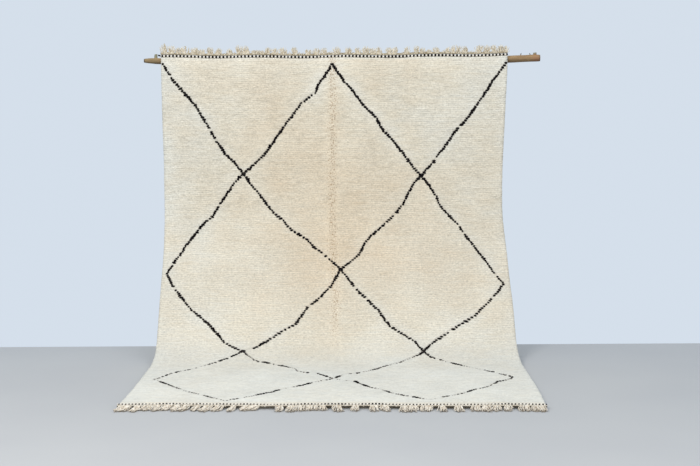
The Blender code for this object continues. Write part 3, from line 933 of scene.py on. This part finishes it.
def yarn_finish(name, dark, mid, light, sheen=0.1, gloss=0.25, worn=None, painted_shade_low=None):
    """Spun wool: three tones that change from strand to strand, with loose fibres in the relief, and painted
    shade near the floor where asked.
    """
    f = Finish(name, 0.92, sheen, gloss)
    place = f.place()
    tone = f.noise(place, (0.016, 0.016, 0.020), 3, 0.6)
    strands = f.noise(place, (0.0045, 0.014, 0.012), 1, 0.5)
    hairs = f.noise(place, (0.0016, 0.0022, 0.012), 2, 0.6)
    colour = f.ramp(tone * 0.4 + strands * 0.35 + hairs * 0.25, ((0.36, dark), (0.49, mid), (0.63, light)))
    if worn is not None:
        colour = f.mix(f.attribute("pale"), colour, worn)
    # painted shade: the strands darken towards the floor, where their undersides lie in shadow
    if painted_shade_low is not None:
        height = f.axis(place, 2) + (tone - 0.5) * 0.010
        colour = f.mix((1 - f.step(height, 0.0015, 0.0085)) * 0.75, colour, painted_shade_low)
    return f.done(colour, hairs, 0.0010)


def band_finish(name, dark, mid, light, shade_painted_below):
    """A flat-woven end band: weft of two tones over pale warp, with painted shade below a height."""
    f = Finish(name, 0.92)
    cloth = f.cloth_place()
    warp = f.threads(cloth, "X", 50.0, 2.0, 2.0)
    tone = f.noise(cloth, (0.12, 0.004, 1), 3, 0.6)
    colour = f.ramp(tone, ((0.30, dark), (0.48, mid), (0.66, light)))
    # painted shade: below this height the band goes dark, as the gap between the raised band and the floor
    # lies in shadow
    height = f.axis(f.place(), 2) + (tone - 0.5) * 0.003
    painted_shade_low = 1 - f.step(height, shade_painted_below - 0.0015, shade_painted_below + 0.0015)
    colour = f.mix(painted_shade_low * 0.92, f.shade(colour, 0.7 + warp * 0.35), (0.035, 0.028, 0.020))
    return f.done(colour, warp, 0.0010)


def wood_finish():
    """Weathered bare wood: long grain, knots, a reddish patch and dirty sawn ends, painted lighter on top
    and in painted shade towards its underside.
    """
    f = Finish("weathered_branch", 0.7)
    place = f.place()
    x = f.axis(place, 0)
    z = f.axis(place, 2)
    grain = f.noise(place, (0.16, 0.0035, 0.0035), 4, 0.65)
    fine = f.noise(place, (0.05, 0.0012, 0.0012), 2, 0.6)
    stain = f.noise(place, (0.14, 0.05, 0.05), 3, 0.6)
    colour = f.ramp(grain * 0.65 + stain * 0.35,
                    ((0.34, (0.13, 0.073, 0.034)), (0.47, (0.26, 0.163, 0.080)),
                     (0.58, (0.39, 0.262, 0.132)), (0.70, (0.50, 0.355, 0.20))))
    colour = f.shade(colour, 0.78 + fine * 0.42)
    red = f.step(x, 1.080, 1.120) * f.step(stain, 0.32, 0.55)
    colour = f.mix(red * 0.55, colour, (0.30, 0.135, 0.080))
    olive = 1 - f.step(x, -1.080, -1.030)
    colour = f.mix(olive * 0.45, colour, (0.235, 0.195, 0.105))
    sawn = f.step(x, 1.132, 1.146) * 0.6 + (1 - f.step(x, -1.1465, -1.1360))
    colour = f.mix(sawn * 0.85, colour, (0.060, 0.050, 0.040))
    # painted light: the pole is lighter on top and darker towards its underside, standing in for light from
    # above
    under = f.step(z - x * 0.0013, 1.698, 1.664)
    colour = f.shade(colour, 1.34 - under * 0.90)
    splinters = f.step(z, 1.7040, 1.7060) * f.step(x, 0.98, 1.00)
    splinters *= 1 - f.step(x, 1.098, 1.102)
    colour = f.mix(splinters * 0.85, colour, (0.055, 0.050, 0.045))
    moss = (1 - f.step(x, -1.060, -1.045)) * f.step(z, 1.694, 1.702)
    moss += f.step(x, 1.08, 1.10) * f.step(z, 1.706, 1.710)
    colour = f.mix(moss * 0.75, colour, (0.225, 0.245, 0.185))
    return f.done(colour, grain * 0.7 + fine * 0.3, 0.0012)


def floor_finish():
    """Plain pale studio floor."""
    f = Finish("studio_floor", 0.85)
    tone = f.noise(f.place(), (0.9, 0.9, 0.9), 2, 0.5)
    return f.done(f.ramp(tone, ((0.2, (0.50, 0.50, 0.50)), (0.8, (0.54, 0.54, 0.53)))))


# ---- stage, lights and camera ----
def area_light(name, place, size, watts, colour):
    """A soft rectangular light that looks at the hanging part of the rug."""
    light = bpy.data.lights.new(name, "AREA")
    light.shape = "RECTANGLE"
    light.size, light.size_y = size
    light.energy = watts
    light.color = colour
    obj = bpy.data.objects.new(name, light)
    obj.location = place
    obj.rotation_euler = (Vector(LIGHTS_LOOK_AT) - Vector(place)).to_track_quat("-Z", "Y").to_euler()
    bpy.context.scene.collection.objects.link(obj)


def build_stage():
    """The floor, the pale room, the two lights and the camera."""
    bm = bmesh.new()
    bmesh.ops.create_grid(bm, x_segments=1, y_segments=1, size=1.0)
    for vert in bm.verts:
        y = WALL_Y - FLOOR_HALF_DEEP + vert.co.y * FLOOR_HALF_DEEP
        vert.co = Vector((vert.co.x * FLOOR_HALF_WIDE, y, -FLOOR_DROP))
    floor = object_of("floor", bm)
    floor.data.materials.append(floor_finish())
    world = bpy.data.worlds.new("pale_room")
    world.use_nodes = True
    backdrop = world.node_tree.nodes.get("Background") or world.node_tree.nodes.new("ShaderNodeBackground")
    backdrop.inputs["Color"].default_value = ROOM_COLOUR
    backdrop.inputs["Strength"].default_value = 1.0
    bpy.context.scene.world = world
    area_light("key", place=(-2.4, -4.4, 3.4), size=(2.0, 2.0), watts=150.0, colour=(1.0, 0.955, 0.905))
    area_light("fill", place=(2.6, -5.2, 1.7), size=(3.0, 2.4), watts=88.0, colour=(1.0, 0.965, 0.92))
    camera = bpy.data.cameras.new("camera")
    camera.lens = LENS_MM
    camera.sensor_width = 36.0
    obj = bpy.data.objects.new("camera", camera)
    turn = Matrix.Rotation(math.radians(90 - CAMERA_TILT), 4, "X") @ Matrix.Rotation(CAMERA_ROLL, 4, "Z")
    obj.matrix_world = Matrix.Translation(CAMERA_PLACE) @ turn
    bpy.context.scene.collection.objects.link(obj)
    bpy.context.scene.camera = obj
    bpy.context.scene.view_settings.view_transform = "Standard"


def main():
    """Build every piece, the stage, the lights and the camera."""
    build_stage()
    dark_tones = (0.004, 0.0035, 0.004), (0.009, 0.008, 0.009), (0.035, 0.029, 0.026)
    dark_wool = yarn_finish("dark_wool", *dark_tones, sheen=0.0, gloss=0.0)
    knot_wool = yarn_finish("knot_wool", *dark_tones, sheen=0.0, gloss=0.0, worn=(0.34, 0.315, 0.285))
    pale_wool = yarn_finish("pale_wool", (0.64, 0.575, 0.47), (0.80, 0.745, 0.65), (0.90, 0.86, 0.79))
    warp_wool = yarn_finish("warp_wool", (0.42, 0.325, 0.20), (0.76, 0.675, 0.52), (0.92, 0.86, 0.73))
    # the last colour is painted shade on the lying tufts close to the floor
    lying_wool = yarn_finish("lying_wool", (0.40, 0.30, 0.20), (0.81, 0.725, 0.595), (0.95, 0.905, 0.81),
                             painted_shade_low=(0.10, 0.075, 0.050))
    loop_cotton = yarn_finish("loop_cotton", (0.40, 0.36, 0.29), (0.56, 0.52, 0.44), (0.68, 0.64, 0.56))
    # the top band's own brownish weave, darkened further as painted shade where it lies in shadow between
    # the cord and the tufts
    olive_and_shaded_band = band_finish("olive_and_shaded_band", (0.24, 0.185, 0.11), (0.40, 0.335, 0.22), (0.60, 0.53, 0.40),
                             shade_painted_below=0.0)
    # below 16 mm the cream band carries painted shade
    cream_band = band_finish("cream_band", (0.52, 0.44, 0.33), (0.70, 0.625, 0.50), (0.84, 0.79, 0.69),
                             shade_painted_below=0.0160)
    pile = build_pile(pile_finish())
    ground = build_ground(ground_finish())
    knots = build_knots(knot_wool)
    cords = build_cord("top_cord", top_edge, TOP_TWIST, dark_wool, pale_wool, True)
    cords += build_cord("bottom_cord", front_edge, FRONT_TWIST, dark_wool, pale_wool, False)
    bands = [build_band("top_fringe", top_edge, olive_and_shaded_band, BAND_THICK, 0.0),
             build_band("bottom_fringe", front_edge, cream_band, FRONT_BAND_THICK, FRONT_BAND_DROP)]
    tufts = [build_top_fringe(warp_wool), build_bottom_fringe(lying_wool)]
    build_loops(loop_cotton)
    build_pole(wood_finish())


main()
